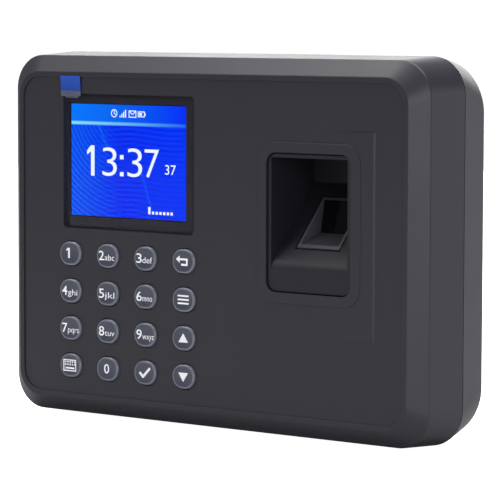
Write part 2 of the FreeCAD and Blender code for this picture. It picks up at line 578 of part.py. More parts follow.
guide_top = "(finger_z + finger_tall / 2 - guide_clear - guide_wall)"
guide_low = "(finger_z - finger_tall / 2 + guide_clear + guide_wall)"
guide_half = "(finger_width / 2 - guide_clear - guide_wall)"
finger_guide = body("finger_guide")
box_sketch = sketch(finger_guide, "guide_box", "rim_height - guide_depth")
outline(box_sketch, "finger_width + 2 * guide_flange", "finger_tall + 2 * guide_flange",
        "finger_corner + guide_flange / 2", "finger_x", "finger_z")
grow(finger_guide, box_sketch, "guide_depth - guide_flange_depth")
neck_sketch = sketch(finger_guide, "guide_neck", "rim_height - guide_flange_depth - root")
outline(neck_sketch, "finger_width - 2 * guide_clear", "finger_tall - 2 * guide_clear",
        "finger_corner - guide_clear", "finger_x", "finger_z")
neck = grow(finger_guide, neck_sketch, "guide_flange_depth - guide_sink + root")
soften(finger_guide, neck, ["rim_height - guide_sink"], "guide_round")
well = sketch(finger_guide, "well_side", "finger_x + " + guide_half, "YZ_Plane")
polygon(well, ((behind("-overcut"), "ramp_foot"), (behind("guide_sink"), "ramp_foot"),
               (behind("well_depth"), ramp("well_depth")), (behind("well_depth"), guide_top),
               (behind("-overcut"), guide_top)))
well_cut = dig(finger_guide, well, "2 * " + guide_half)
doc.recompute()
foot_y, foot_z = number(behind("guide_sink")), number("ramp_foot")
foot_edges = ["Edge%d" % index for index, edge in enumerate(well_cut.Shape.Edges, start=1)
              if all(abs(end.Y - foot_y) < 1e-4 and abs(end.Z - foot_z) < 1e-4 for end in edge.Vertexes)]
ramp_foot_round = finger_guide.newObject("PartDesign::Fillet", "ramp_foot_round")
ramp_foot_round.Base = (well_cut, foot_edges)
bind(ramp_foot_round, Radius="ramp_round")
under = sketch(finger_guide, "under_side", "finger_x + " + guide_half, "YZ_Plane")
ramp_under = "ramp_wall / cos(ramp_angle * 1deg)"
lip_depth = "guide_sink + 1.7 * ramp_wall"
polygon(under, ((behind(lip_depth), guide_low), (behind("guide_depth + overcut"), guide_low),
                (behind("guide_depth + overcut"), "%s - %s" % (ramp("guide_depth + overcut"), ramp_under)),
                (behind(lip_depth), "%s - %s" % (ramp(lip_depth), ramp_under))))
dig(finger_guide, under, "2 * " + guide_half)
slot_half = "(sensor_width / 2 + sensor_slot)"
sensor_hole = sketch(finger_guide, "sensor_hole", "finger_x + " + slot_half, "YZ_Plane")
polygon(sensor_hole, (ramp_point("sensor_low_depth", "overcut"), ramp_point("sensor_low_depth", "-overcut"),
                      ramp_point("sensor_high_depth", "-overcut"), ramp_point("sensor_high_depth", "overcut")))
dig(finger_guide, sensor_hole, "2 * " + slot_half)
ledge_front, ledge_back = "(rim_height - ledge_low_depth)", "(rim_height - ledge_high_depth)"
screw_z = "(%s + guide_screw_rise)" % guide_low
ledges = sketch(finger_guide, "sensor_ledges", ledge_back)
for side in "-+":
    rectangle(ledges, "finger_x %s guide_screw_x - ledge_half" % side, "finger_x %s guide_screw_x + ledge_half" % side,
              guide_low + " - root", screw_z + " + ledge_half")
grow(finger_guide, ledges, "%s - %s" % (ledge_front, ledge_back))
ledge_bores = sketch(finger_guide, "ledge_bores", ledge_back + " + guide_bore_deep")
for side in "-+":
    circle(ledge_bores, "finger_x %s guide_screw_x" % side, screw_z, "guide_bore")
dig(finger_guide, ledge_bores, "guide_bore_deep + overcut")
keep(finger_guide)

# ---------------------------------------------------------------- fingerprint sensor
# A dark frame fills the ramp's window. Its pocket holds an almost upright glass with a prism behind it.
frame_low, frame_high = "sensor_low_depth + sensor_slot", "sensor_high_depth - sensor_slot"
sensor_back = behind("sensor_back_depth")
sensor_frame = body("sensor_frame")
side_sketch = sketch(sensor_frame, "sensor_side", "finger_x - sensor_width / 2", "YZ_Plane")
low_back, high_back = ramp_point(frame_low, "-sensor_skirt"), ramp_point(frame_high, "-sensor_skirt")
polygon(side_sketch, (ramp_point(frame_low), ramp_point(frame_high), high_back, (sensor_back, high_back[1]),
                      (sensor_back, low_back[1]), low_back))
grow(sensor_frame, side_sketch, "sensor_width")
bar_sketch = sketch(sensor_frame, "sensor_bar", "rim_height - sensor_back_depth")
rectangle(bar_sketch, "finger_x - sensor_bar_half", "finger_x + sensor_bar_half", guide_low + " + guide_wall",
          low_back[1] + " + 3 * root")
grow(sensor_frame, bar_sketch, "sensor_bar_thick")


def glass_point(up, back="0"):
    """A place on the glass's front face, moved up along it and back from it."""
    return (behind("glass_low_depth + (%s) * sin(glass_tilt * 1deg) + (%s) * cos(glass_tilt * 1deg)" % (up, back)),
            "(glass_low_z + (%s) * cos(glass_tilt * 1deg) - (%s) * sin(glass_tilt * 1deg))" % (up, back))


pocket_half = "(sensor_width / 2 - sensor_wall)"
pocket = sketch(sensor_frame, "sensor_pocket", "finger_x + " + pocket_half, "YZ_Plane")
mouth = ramp_point(frame_low + " + sensor_wall")
polygon(pocket, (mouth, glass_point("0"), glass_point("glass_tall"), (mouth[0], glass_point("glass_tall")[1])))
dig(sensor_frame, pocket, "2 * " + pocket_half)
glass_seat = sketch(sensor_frame, "glass_seat", "finger_x + %s + glass_groove" % pocket_half, "YZ_Plane")
polygon(glass_seat, (glass_point("0"), glass_point("0", "glass_thick"), glass_point("glass_tall", "glass_thick"),
                     glass_point("glass_tall")))
dig(sensor_frame, glass_seat, "2 * (%s + glass_groove)" % pocket_half)
light_path = sketch(sensor_frame, "light_path", "finger_x + %s - light_inset" % pocket_half, "YZ_Plane")
path_low = glass_point("light_inset", "glass_thick / 2")
path_high = glass_point("glass_tall - light_inset", "glass_thick / 2")
polygon(light_path, (path_low, path_high, (behind("sensor_back_depth + overcut"), path_high[1]),
                     (behind("sensor_back_depth + overcut"), path_low[1])))
dig(sensor_frame, light_path, "2 * (%s - light_inset)" % pocket_half)
bar_holes = sketch(sensor_frame, "bar_holes", "rim_height - sensor_back_depth + overcut")
for side in "-+":
    circle(bar_holes, "finger_x %s guide_screw_x" % side, screw_z, "keypad_hole")
dig(sensor_frame, bar_holes, "2 * overcut")

sensor_window = body("sensor_window")
glass_side = sketch(sensor_window, "glass_side", "finger_x - %s - glass_groove + glass_clear" % pocket_half, "YZ_Plane")
polygon(glass_side, (glass_point("glass_clear"), glass_point("glass_clear", "glass_thick - glass_clear"),
                     glass_point("glass_tall - glass_clear", "glass_thick - glass_clear"),
                     glass_point("glass_tall - glass_clear")))
grow(sensor_window, glass_side, "2 * (%s + glass_groove - glass_clear)" % pocket_half)
sensor_prism = body("sensor_prism")
prism_side = sketch(sensor_prism, "prism_side", "finger_x - %s + prism_inset" % pocket_half, "YZ_Plane")
prism_low = glass_point("prism_end", "glass_thick + glass_clear")
polygon(prism_side, (prism_low, glass_point("glass_tall - prism_end", "glass_thick + glass_clear"),
                     (behind("sensor_back_depth - 2 * root"), prism_low[1])))
grow(sensor_prism, prism_side, "2 * (%s - prism_inset)" % pocket_half)
sensor_board_front = "(rim_height - sensor_back_depth - root / 2)"
board_foot = guide_low + " + guide_wall / 2"
sensor_plate = block("sensor_plate", "finger_x - sensor_bar_half", "finger_x + sensor_bar_half",
                     sensor_board_front + " - sensor_board_thick", sensor_board_front, board_foot,
                     board_foot + " + sensor_board_tall")
plate_holes = [rod("plate_hole_" + word, "finger_x %s guide_screw_x" % side, screw_z,
                   sensor_board_front + " - overcut", sensor_board_front + " + overcut", "keypad_hole")
               for side, word in (("-", "left"), ("+", "right"))]
sensor_board = cut("sensor_board", sensor_plate, plate_holes)
board_rear = "(%s - sensor_board_thick)" % sensor_board_front
sensor_screws = []
for side, word in (("-", "left"), ("+", "right")):
    place = "finger_x %s guide_screw_x" % side
    head = rod("sensor_head_" + word, place, screw_z, board_rear + " - small_head_thick", board_rear, "small_head")
    shank = rod("sensor_shank_" + word, place, screw_z, board_rear + " - root", ledge_back + " + overcut",
                "sensor_shank")
    sensor_screws.append(fuse("sensor_screw_" + word, [head, shank]))
keep(sensor_frame, sensor_window, sensor_prism, sensor_board, group("sensor_screws", sensor_screws))

# ---------------------------------------------------------------- main board and what it carries
main_board = body("main_board")
board_sketch = sketch(main_board, "board_outline", "board_height")
outline(board_sketch, "board_high_x - board_low_x", "board_high_z - board_low_z", "board_corner", board_x, board_z)
for x, z in corners(post_x, post_z, board_x, board_z):
    circle(board_sketch, x, z, "board_hole")
grow(main_board, board_sketch, "board_thick")


def on_board(name, x, z, wide, tall, high):
    """A plain component on the board's front face."""
    return block(name, "%s - %s / 2" % (x, wide), "%s + %s / 2" % (x, wide), board_top,
                 "%s + %s" % (board_top, high), "%s - %s / 2" % (z, tall), "%s + %s / 2" % (z, tall))


# Processor, memory, flash store, audio amplifier and power converter: X, Z, width, height, thickness.
CHIPS = (("processor", -40, 2, 14, 14, 1.4), ("memory", -62, 22, 11, 9, 1.1), ("flash", -62, 4, 12, 8, 1.1),
         ("amplifier", -4, -30, 5, 6, 1.5), ("converter", -66, -34, 6, 5, 1.6), ("clock", -18, 30, 5, 4, 1.4))
chips = group("board_chips", [on_board("chip_" + word, *map(str, sizes)) for word, *sizes in CHIPS])
passives = []
for row in range(3):
    for step in range(8):
        word = "passive_%d_%d" % (row, step)
        passives.append(on_board(word, str(-58 + 6 * step), str(-16 - 6 * row), "2.2", "1.3", "0.9"))
for step in range(3):
    passives.append(rod("capacitor_%d" % step, str(-70 + 9 * step), "34", board_top, board_top + " + 7", "3"))
passives.append(on_board("coil", "-8", "-10", "7", "7", "3.2"))
connectors = group("board_connectors", [
    on_board("display_connector", "lcd_x", "18", "24", "4", "2"),
    on_board("sensor_connector", "16", "3", "5", "10", "3"),
    on_board("keypad_connector", "-40", "-44", "20", "4", "2.4"),
    on_board("speaker_connector", "14", "-30", "5", "6", "3")])
screws = []
for index, (x, z) in enumerate(corners(post_x, post_z, board_x, board_z)):
    head = rod("board_head_%d" % index, x, z, board_top, board_top + " + board_head_thick", "board_head")
    shank = rod("board_shank_%d" % index, x, z, "board_height - post_bore_deep + root", board_top + " + root",
                "board_shank")
    screws.append(fuse("board_screw_%d" % index, [head, shank]))
holder_ring = rod("holder_ring", "coin_x", "coin_z", board_top, board_top + " + coin_thick + holder_rise",
                  "coin_radius + holder_wall")
holder_room = rod("holder_room", "coin_x", "coin_z", board_top + " + holder_floor",
                  board_top + " + coin_thick + overcut", "coin_radius + holder_clear")
battery_holder = cut("battery_holder", holder_ring, [holder_room])
coin_cell = rod("coin_cell", "coin_x", "coin_z", board_top + " + holder_floor",
                board_top + " + holder_floor + coin_thick", "coin_radius")
keep(main_board, chips, group("board_passives", passives), connectors, group("board_screws", screws),
     battery_holder, coin_cell)

# Ports at the bottom edge: a USB-A socket and a barrel power jack.
usb_left, usb_right = "usb_x - usb_width / 2", "usb_x + usb_width / 2"
usb_shell = block("usb_shell", usb_left, usb_right, board_top, board_top + " + usb_tall", "port_z",
                  "port_z + usb_depth")
usb_room = block("usb_room", usb_left + " + usb_sheet", usb_right + " - usb_sheet", board_top + " + usb_sheet",
                 board_top + " + usb_tall - usb_sheet", "port_z - overcut", "port_z + usb_depth - usb_sheet")
usb_socket = cut("usb_socket", usb_shell, [usb_room])
usb_tongue = block("usb_tongue", usb_left + " + usb_tongue_side", usb_right + " - usb_tongue_side",
                   usb_level + " - usb_tongue_thick - root / 2", usb_level + " - root / 2",
                   "port_z + usb_tongue_set", "port_z + usb_depth - usb_sheet")
jack_block = block("jack_block", "jack_x - jack_width / 2", "jack_x + jack_width / 2", board_top,
                   board_top + " + jack_tall", "port_z + jack_set", "port_z + jack_set + jack_depth")


def upright(name, x, height, low_z, high_z, radius):
    """A cylinder that stands along Z."""
    made = doc.addObject("Part::Cylinder", name)
    bind(made, Radius=radius, Height="(%s) - (%s)" % (high_z, low_z), Placement__Base__x=x,
         Placement__Base__y="-(%s)" % height, Placement__Base__z=low_z)
    return made


jack_room = upright("jack_room", "jack_x", jack_level, "port_z", "port_z + jack_bore_deep", "jack_bore")
dc_jack = cut("dc_jack", jack_block, [jack_room])
dc_jack_pin = upright("dc_jack_pin", "jack_x", jack_level, "port_z + jack_pin_set", "port_z + jack_bore_deep",
                      "jack_pin")
keep(usb_socket, usb_tongue, dc_jack, dc_jack_pin)

# Flat cables: one from the display to the board, one from the sensor board to its connector.
flex_thick, bend_height, bend_z = "0.3", "8", "20"
lcd_flex = body("lcd_flex")
flex_side = sketch(lcd_flex, "flex_side", "lcd_x - flex_width / 2", "YZ_Plane")
flex_top = "lcd_z + 2.6"
polygon(flex_side, (("-" + lcd_back, flex_top), ("-%s + overcut" % lcd_back, flex_top),
                    ("-%s - %s" % (board_top, bend_height), bend_z), ("-%s - 2" % board_top, bend_z),
                    ("-%s - 2" % board_top, "%s - %s" % (bend_z, flex_thick)),
                    ("-%s - %s - 0.1" % (board_top, bend_height), "%s - %s" % (bend_z, flex_thick)),
                    ("-%s + overcut + 0.1" % lcd_back, "%s - %s" % (flex_top, flex_thick)),
                    ("-" + lcd_back, "%s - %s" % (flex_top, flex_thick))))
grow(lcd_flex, flex_side, "flex_width")
sensor_cable = body("sensor_cable")
cable_side = sketch(sensor_cable, "cable_side", "0", "XY_Plane")
connector_top = "(%s + 3)" % board_top
polygon(cable_side, (("14.5", "-" + connector_top), ("14.5", "-%s - 0.6" % connector_top),
                     ("26", "-%s - 0.9" % connector_top), ("finger_x - 13", "-" + board_rear),
                     ("finger_x - 9", "-" + board_rear), ("finger_x - 9", "-%s + 0.5" % board_rear),
                     ("27", "-" + connector_top), ("17", "-" + connector_top)))
grow(sensor_cable, cable_side, "6")
keep(lcd_flex, sensor_cable)

# ---------------------------------------------------------------- speaker
gasket_disc = rod("gasket_disc", "speaker_x", "speaker_z", floor, floor + " + gasket_thick", "speaker_radius")
gasket_hole = rod("gasket_hole", "speaker_x", "speaker_z", floor + " - overcut", floor + " + overcut",
                  "speaker_radius - gasket_ring")
speaker_gasket = cut("speaker_gasket", gasket_disc, [gasket_hole])
speaker_back = "(%s + gasket_thick)" % floor
basket = rod("speaker_basket", "speaker_x", "speaker_z", speaker_back, speaker_back + " + basket_thick",
             "speaker_radius")
magnet = rod("speaker_magnet", "speaker_x", "speaker_z", speaker_back + " + basket_thick - root",
             speaker_back + " + speaker_thick", "magnet_radius")
speaker = fuse("speaker", [basket, magnet])
keep(speaker_gasket, speaker)

# ---------------------------------------------------------------- case screws, wall bracket, lock screw
case_screws = []
for index, (x, z) in enumerate(corners("case_screw_x", "case_screw_z")):
    head = rod("case_head_%d" % index, x, z, "case_floor - case_head_thick", "case_floor", "case_head")
    drive = rod("case_drive_%d" % index, x, z, "case_floor - case_head_thick - case_drive",
                "case_floor - case_head_thick + case_drive", "case_drive")
    shank = rod("case_shank_%d" % index, x, z, "case_floor - root",
                "case_floor + case_screw_long + case_screw_grip", "case_shank")
    case_screws.append(cut("case_screw_%d" % index, fuse("case_blank_%d" % index, [head, shank]), [drive]))
keep(group("case_screws", case_screws))

wall_bracket = body("wall_bracket")
plate = sketch(wall_bracket, "bracket_plate")
outline(plate, "bracket_width", "bracket_tall", "bracket_corner")
for x, z in corners("bracket_span_x / 2", "bracket_span_z / 2"):
    circle(plate, x, z, "bracket_hole")
outline(plate, "cable_hole_width", "cable_hole_tall", "cable_hole_corner", "0", "cable_hole_z")
grow(wall_bracket, plate, "bracket_thick")
arm = sketch(wall_bracket, "bracket_arm")
rectangle(arm, "-lug_width / 2", "lug_width / 2", "lug_z", "-bracket_tall / 2 + root")
grow(wall_bracket, arm, "bracket_thick")
lug = sketch(wall_bracket, "bracket_lug")
rectangle(lug, "-lug_width / 2", "lug_width / 2", "lug_z", "lug_z + bracket_thick")
grow(wall_bracket, lug, "lug_reach")
for label, top, start, stop in (("legs", "hook_thick", "0", "hook_reach - root / 2"),
                                ("hooks", "hook_up", "hook_reach - hook_thick - root / 2", "hook_thick")):
    hook_sketch = sketch(wall_bracket, "bracket_" + label, start)
    for x in ("hook_x", "-hook_x"):
        for z in ("hook_z", "-hook_z"):
            rectangle(hook_sketch, x + " - hook_width / 2", x + " + hook_width / 2", z, "%s + %s" % (z, top))
    grow(wall_bracket, hook_sketch, stop)
lug_bore = sketch(wall_bracket, "lug_bore", "lug_z + overcut", "XY_Plane")
circle(lug_bore, "0", "-lock_height", "lock_radius + lock_fit")
dig(wall_bracket, lug_bore, "2 * overcut")
lock_face = "(-back_tall / 2 - lock_stand)"
lock_head = upright("lock_head", "0", "lock_height", lock_face + " - lock_head_thick", lock_face, "lock_head")
lock_shank = upright("lock_shank", "0", "lock_height", lock_face + " - root", "lug_z + overcut - 1", "lock_radius")
keep(wall_bracket, fuse("bracket_lock_screw", [lock_head, lock_shank]))


# ---------------------------------------------------------------- checks and export
doc.recompute()
for item in doc.Objects:
    if {"Invalid", "Error"} & set(item.State):
        raise RuntimeError("%s (%s) failed: %s" % (item.Label, item.Name, item.State))
os.makedirs("parts", exist_ok=True)
for node in nodes:
    shape = node.Shape
    if shape.isNull() or not shape.isValid() or not shape.Solids:
        raise RuntimeError("%s has no valid solid" % node.Label)
    shape.exportStep("parts/%s.step" % node.Label)
print("%d nodes" % len(nodes))
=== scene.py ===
import math

import bmesh
import bpy
from mathutils import Matrix, Vector


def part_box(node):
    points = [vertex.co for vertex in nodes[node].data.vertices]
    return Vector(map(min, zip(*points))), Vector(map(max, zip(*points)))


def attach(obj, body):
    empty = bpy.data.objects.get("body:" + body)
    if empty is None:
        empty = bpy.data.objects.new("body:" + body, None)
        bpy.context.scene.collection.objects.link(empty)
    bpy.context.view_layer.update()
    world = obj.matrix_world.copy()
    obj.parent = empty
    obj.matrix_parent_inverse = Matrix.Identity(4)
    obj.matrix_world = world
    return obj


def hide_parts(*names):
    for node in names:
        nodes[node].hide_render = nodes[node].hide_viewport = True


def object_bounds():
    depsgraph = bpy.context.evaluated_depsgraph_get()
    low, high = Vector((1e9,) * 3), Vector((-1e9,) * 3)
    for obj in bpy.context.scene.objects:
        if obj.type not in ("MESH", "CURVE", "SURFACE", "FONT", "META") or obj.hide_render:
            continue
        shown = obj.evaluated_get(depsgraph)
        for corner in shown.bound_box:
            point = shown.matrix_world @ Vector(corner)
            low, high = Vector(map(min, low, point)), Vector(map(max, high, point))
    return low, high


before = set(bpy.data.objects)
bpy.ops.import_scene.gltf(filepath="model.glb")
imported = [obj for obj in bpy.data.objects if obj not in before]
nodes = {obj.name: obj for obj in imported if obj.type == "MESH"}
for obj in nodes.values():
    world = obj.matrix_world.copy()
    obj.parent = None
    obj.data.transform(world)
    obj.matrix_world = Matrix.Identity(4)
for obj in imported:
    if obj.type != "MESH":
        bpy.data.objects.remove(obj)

cad_low, cad_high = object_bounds()
MM = 0.001

# ---------------------------------------------------------------- camera
# A long lens stands to the right of the terminal's front and a little above it, and looks at a place on
# the plane of the front rim, just right of the middle.
LENS_LENGTH, SENSOR_WIDTH = 206.45, 36.0
CAMERA_DISTANCE = 1.0386
rim_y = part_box("front_shell")[0].y
azimuth, elevation, roll = (math.radians(angle) for angle in (37.853, 4.692, 0.156))
camera_target = Vector((21.8 * MM, rim_y, -1.05 * MM))
camera_back = Vector((math.sin(azimuth) * math.cos(elevation), -math.cos(azimuth) * math.cos(elevation),
                      math.sin(elevation)))
camera_data = bpy.data.cameras.new("camera")
camera_data.lens = LENS_LENGTH
camera_data.sensor_width = SENSOR_WIDTH
camera_data.clip_start = 0.05
camera = bpy.data.objects.new("camera", camera_data)
bpy.context.scene.collection.objects.link(camera)
camera_place = camera_target + camera_back * CAMERA_DISTANCE
facing = (-camera_back).to_track_quat("-Z", "Y").to_matrix().to_4x4()
camera.matrix_world = Matrix.Translation(camera_place) @ facing @ Matrix.Rotation(roll, 4, "Z")
bpy.context.scene.camera = camera
bpy.context.scene.view_settings.view_transform = "Standard"


# ---------------------------------------------------------------- floor and light
# A white sheet that the terminal stands on, and five soft lights: one overhead, one behind on each side,
# one to the right and one high to the left. The surroundings are white to look at and dim as a light.
class Wire:
    """A socket in a node tree. Arithmetic on it adds Math nodes; node() adds any other."""

    def __init__(self, tree, socket=None):
        self.tree = tree
        self.socket = socket

    def node(self, kind, settings=None, sockets=None, out=0):
        """Add a node: its settings first, then a value or a wire for each of its sockets."""
        made = self.tree.nodes.new("ShaderNode" + kind)
        for name, value in (settings or {}).items():
            setattr(made, name, value)
        for name, value in (sockets or {}).items():
            if isinstance(value, Wire):
                self.tree.links.new(value.socket, made.inputs[name])
            else:
                made.inputs[name].default_value = value
        return Wire(self.tree, made.outputs[out])

    def maths(self, operation, *others, swap=False, clamp=False):
        values = [self, *others]
        if swap:
            values.reverse()
        return self.node("Math", {"operation": operation, "use_clamp": clamp}, dict(enumerate(values)))

    def __add__(self, other):
        return self.maths("ADD", other)

    def __sub__(self, other):
        return self.maths("SUBTRACT", other)

    def __rsub__(self, other):
        return self.maths("SUBTRACT", other, swap=True)

    def __mul__(self, other):
        return self.maths("MULTIPLY", other)

    def __truediv__(self, other):
        return self.maths("DIVIDE", other)

    def __rtruediv__(self, other):
        return self.maths("DIVIDE", other, swap=True)

    def __gt__(self, other):
        return self.maths("GREATER_THAN", other)

    def __lt__(self, other):
        return self.maths("LESS_THAN", other)

    def __pow__(self, other):
        return self.maths("POWER", other)

    __radd__ = __add__
    __rmul__ = __mul__

    def sine(self):
        return self.maths("SINE")

    def clamped(self):
        return self.maths("ADD", 0.0, clamp=True)

    def between(self, low, high):
        return (self > low) * (self < high)

    def rise(self, low, high):
        """0 below low and 1 above high, with a straight run between."""
        return ((self - low) / (high - low)).clamped()

    def mix(self, first, second):
        """A colour that goes from first to second as this value goes from 0 to 1."""
        return self.node("Mix", {"data_type": "RGBA"}, {0: self, 6: first, 7: second}, out=2)

    def noise(self, scale, detail=2.0, roughness=0.5, distortion=0.0):
        return self.node("TexNoise", None, {"Vector": self, "Scale": scale, "Detail": detail,
                                            "Roughness": roughness, "Distortion": distortion})

    def axes(self):
        """The X, Y and Z of this vector."""
        first = self.node("SeparateXYZ", None, {0: self})
        return [Wire(self.tree, socket) for socket in first.socket.node.outputs]

    def bump(self, strength, distance):
        return self.node("Bump", None, {"Height": self, "Strength": strength, "Distance": distance})


def finish(name, build, **fixed):
    """A principled material. build gets a wire of the place in the object and returns what varies."""
    material = bpy.data.materials.new(name)
    material.use_nodes = True
    tree = material.node_tree
    shader = tree.nodes["Principled BSDF"]
    for socket, value in fixed.items():
        shader.inputs[socket.replace("_", " ")].default_value = value
    place = Wire(tree, tree.nodes.new("ShaderNodeTexCoord").outputs["Object"])
    for socket, value in build(place).items():
        target = shader.inputs[socket.replace("_", " ")]
        if isinstance(value, Wire):
            tree.links.new(value.socket, target)
        else:
            target.default_value = value
    return material


def dress(material, *names):
    """Give CAD nodes, or pieces made here, a material."""
    for name in names:
        mesh = (nodes[name] if isinstance(name, str) else name).data
        mesh.materials.clear()
        mesh.materials.append(material)


def tone(red, green, blue, alpha=1.0):
    """A colour given in 0 to 255 display steps, as linear light."""
    steps = [value / 255 for value in (red, green, blue)]
    return (*[step / 12.92 if step <= 0.04045 else ((step + 0.055) / 1.055) ** 2.4 for step in steps], alpha)


def link(name, mesh):
    made = bpy.data.objects.new(name, mesh)
    bpy.context.scene.collection.objects.link(made)
    return made


FLOOR_SIDE, FLOOR_NEAR, FLOOR_FAR, FLOOR_GAP = 6.0, -4.0, 12.0, 0.2 * MM
floor_level = cad_low[2] - FLOOR_GAP
floor_mesh = bpy.data.meshes.new("floor")
floor_mesh.from_pydata([(x, y, floor_level) for x, y in (
    (-FLOOR_SIDE, FLOOR_NEAR), (FLOOR_SIDE, FLOOR_NEAR), (FLOOR_SIDE, FLOOR_FAR), (-FLOOR_SIDE, FLOOR_FAR))],
                       [], [(0, 1, 2, 3)])
floor = link("floor", floor_mesh)


def sheet_white(place):
    """White to look at. As a source of light it is a pale sheet that the lamps light."""
    seen = place.node("LightPath")
    paper = place.noise(3.0).mix(tone(236, 236, 236), tone(240, 240, 240))
    return {"Base_Color": seen.mix(tone(200, 200, 203), paper),
            "Emission_Color": seen.mix((0.0, 0.0, 0.0, 1.0), (1.0, 1.0, 1.0, 1.0))}


dress(finish("floor_sheet", sheet_white, Roughness=0.9, Specular_IOR_Level=0.0, Emission_Strength=1.0), floor)


def softbox(name, place, width, height, power):
    """A soft light that faces the terminal. It lights and is reflected, and isn't itself seen."""
    light = bpy.data.lights.new(name, "AREA")
    light.shape = "RECTANGLE"
    light.size, light.size_y, light.energy = width, height, power
    lamp = bpy.data.objects.new(name, light)
    bpy.context.scene.collection.objects.link(lamp)
    turn = (-Vector(place)).to_track_quat("-Z", "Y").to_matrix().to_4x4()
    lamp.matrix_world = Matrix.Translation(place) @ turn
    lamp.visible_camera = False


softbox("overhead", (0.0, 0.03, 1.15), 1.6, 0.7, 20.0)
softbox("behind_left", (-0.8, 1.5, 0.4), 1.6, 0.9, 14.0)
softbox("behind_right", (1.2, 1.4, 0.2), 1.2, 0.5, 2.2)
softbox("right_side", (1.1, -0.82, 0.24), 0.5, 0.55, 4.6)
softbox("left_high", (-0.95, -1.2, 1.25), 0.9, 0.8, 8.5)

world = bpy.data.worlds.new("surroundings")
bpy.context.scene.world = world
world.use_nodes = True
backdrop = world.node_tree.nodes["Background"]
path = Wire(world.node_tree, world.node_tree.nodes.new("ShaderNodeLightPath").outputs["Is Camera Ray"])
surround = path.mix((0.22, 0.22, 0.23, 1.0), (1.0, 1.0, 1.0, 1.0))
world.node_tree.links.new(surround.socket, backdrop.inputs["Color"])

# ---------------------------------------------------------------- wall bracket
# Galvanised sheet, pressed and bent, screwed to the wall. The terminal hangs on its four hooks and one
# small screw from below locks it there.
def sheet_steel(name, dark, light, grain, roughness):
    """Zinc on rolled sheet: spangles of the plating, each with its own shade and gloss."""
    def build(place):
        spangle = place.node("TexVoronoi", None, {"Vector": place, "Scale": grain}, out=1)
        shade = place.node("SeparateXYZ", None, {0: spangle})
        scuff = place.noise(grain * 2.6, 4.0, 0.6)
        return {"Base_Color": (shade * 0.7 + scuff * 0.3).mix(dark, light),
                "Roughness": roughness + (shade - 0.5) * 0.16 + (scuff - 0.5) * 0.10,
                "Normal": scuff.bump(0.15, 0.02 * MM)}
    return finish(name, build, Metallic=1.0)


dress(sheet_steel("bracket_steel", tone(150, 153, 158), tone(186, 190, 194), 260.0, 0.36), "wall_bracket")


def plated(name, dark, light, roughness=0.28, brush=900.0):
    """Bright plating with fine turning or brushing marks."""
    def build(place):
        fine = place.noise(brush, 3.0, 0.6)
        slow = place.noise(brush / 12)
        return {"Base_Color": (fine * 0.5 + slow * 0.5).mix(dark, light),
                "Roughness": roughness + (fine - 0.5) * 0.12 + (slow - 0.5) * 0.1,
                "Normal": fine.bump(0.12, 0.01 * MM)}
    return finish(name, build, Metallic=1.0)


screw_steel = plated("screw_steel", tone(140, 142, 146), tone(188, 190, 194))
dress(screw_steel, "bracket_lock_screw", "case_screws", "board_screws", "keypad_screws", "sensor_screws")

# ---------------------------------------------------------------- rear shell
# A shallow tray in a slightly lighter dark plastic, moulded against an etched tool. It carries the main
# board, the speaker behind its ring of holes, and the ports in its bottom edge.
def moulded(name, dark, light, roughness=0.42, grain=0.35, gloss_level=0.5):
    """Etched moulded plastic: grain about 0.3 mm across, with slow drifts of tone and gloss."""
    def build(place):
        drift = place.noise(18.0, 2.0)
        fine = place.noise(2600.0, 3.0, 0.6)
        smear = place.noise(55.0, 4.0, 0.65, 0.6)
        gloss = roughness + (drift - 0.5) * 0.08 + (fine - 0.5) * 0.08 + (smear - 0.5) * 0.10
        return {"Base_Color": (drift * 0.6 + fine * 0.4).mix(dark, light), "Roughness": gloss,
                "Normal": fine.bump(grain, 0.03 * MM)}
    return finish(name, build, Specular_IOR_Level=gloss_level)


dress(moulded("rear_plastic", tone(58, 57, 63), tone(68, 67, 74)), "rear_shell")

# ---------------------------------------------------------------- boards
# Glass-fibre boards under a green lacquer, with the tracks just raised below it, and a tinned edge.
def lacquered(place):
    across, _, up = place.axes()
    weave = place.noise(420.0, 2.0)
    lane = ((across + weave * 0.0004) * 5200.0).sine() * ((up - across) * 900.0).sine()
    track = lane.rise(0.15, 0.35)
    return {"Base_Color": track.mix(tone(14, 74, 42), tone(28, 104, 60)), "Roughness": 0.30 + weave * 0.12,
            "Normal": track.bump(0.4, 0.035 * MM)}


dress(finish("green_lacquer", lacquered), "main_board", "keypad_board", "sensor_board")


def speckled(name, dark, light, scale, roughness, **fixed):
    """A plain moulded or fired part: fine speckle and a slow drift in its tone and gloss."""
    def build(place):
        fine = place.noise(scale, 3.0, 0.6)
        slow = place.noise(scale / 14)
        return {"Base_Color": (fine * 0.6 + slow * 0.4).mix(dark, light),
                "Roughness": roughness + (fine - 0.5) * 0.14, "Normal": fine.bump(0.2, 0.02 * MM)}
    return finish(name, build, **fixed)


dress(speckled("chip_epoxy", tone(26, 26, 28), tone(38, 38, 40), 1800.0, 0.55), "board_chips")
dress(speckled("fired_ceramic", tone(150, 128, 98), tone(182, 160, 128), 1500.0, 0.45), "board_passives")
dress(speckled("connector_nylon", tone(214, 210, 196), tone(232, 229, 216), 900.0, 0.48), "board_connectors")
dress(speckled("holder_nylon", tone(30, 30, 32), tone(42, 42, 44), 1200.0, 0.5), "battery_holder")
dress(plated("cell_steel", tone(186, 186, 188), tone(214, 214, 216), 0.24, 500.0), "coin_cell")

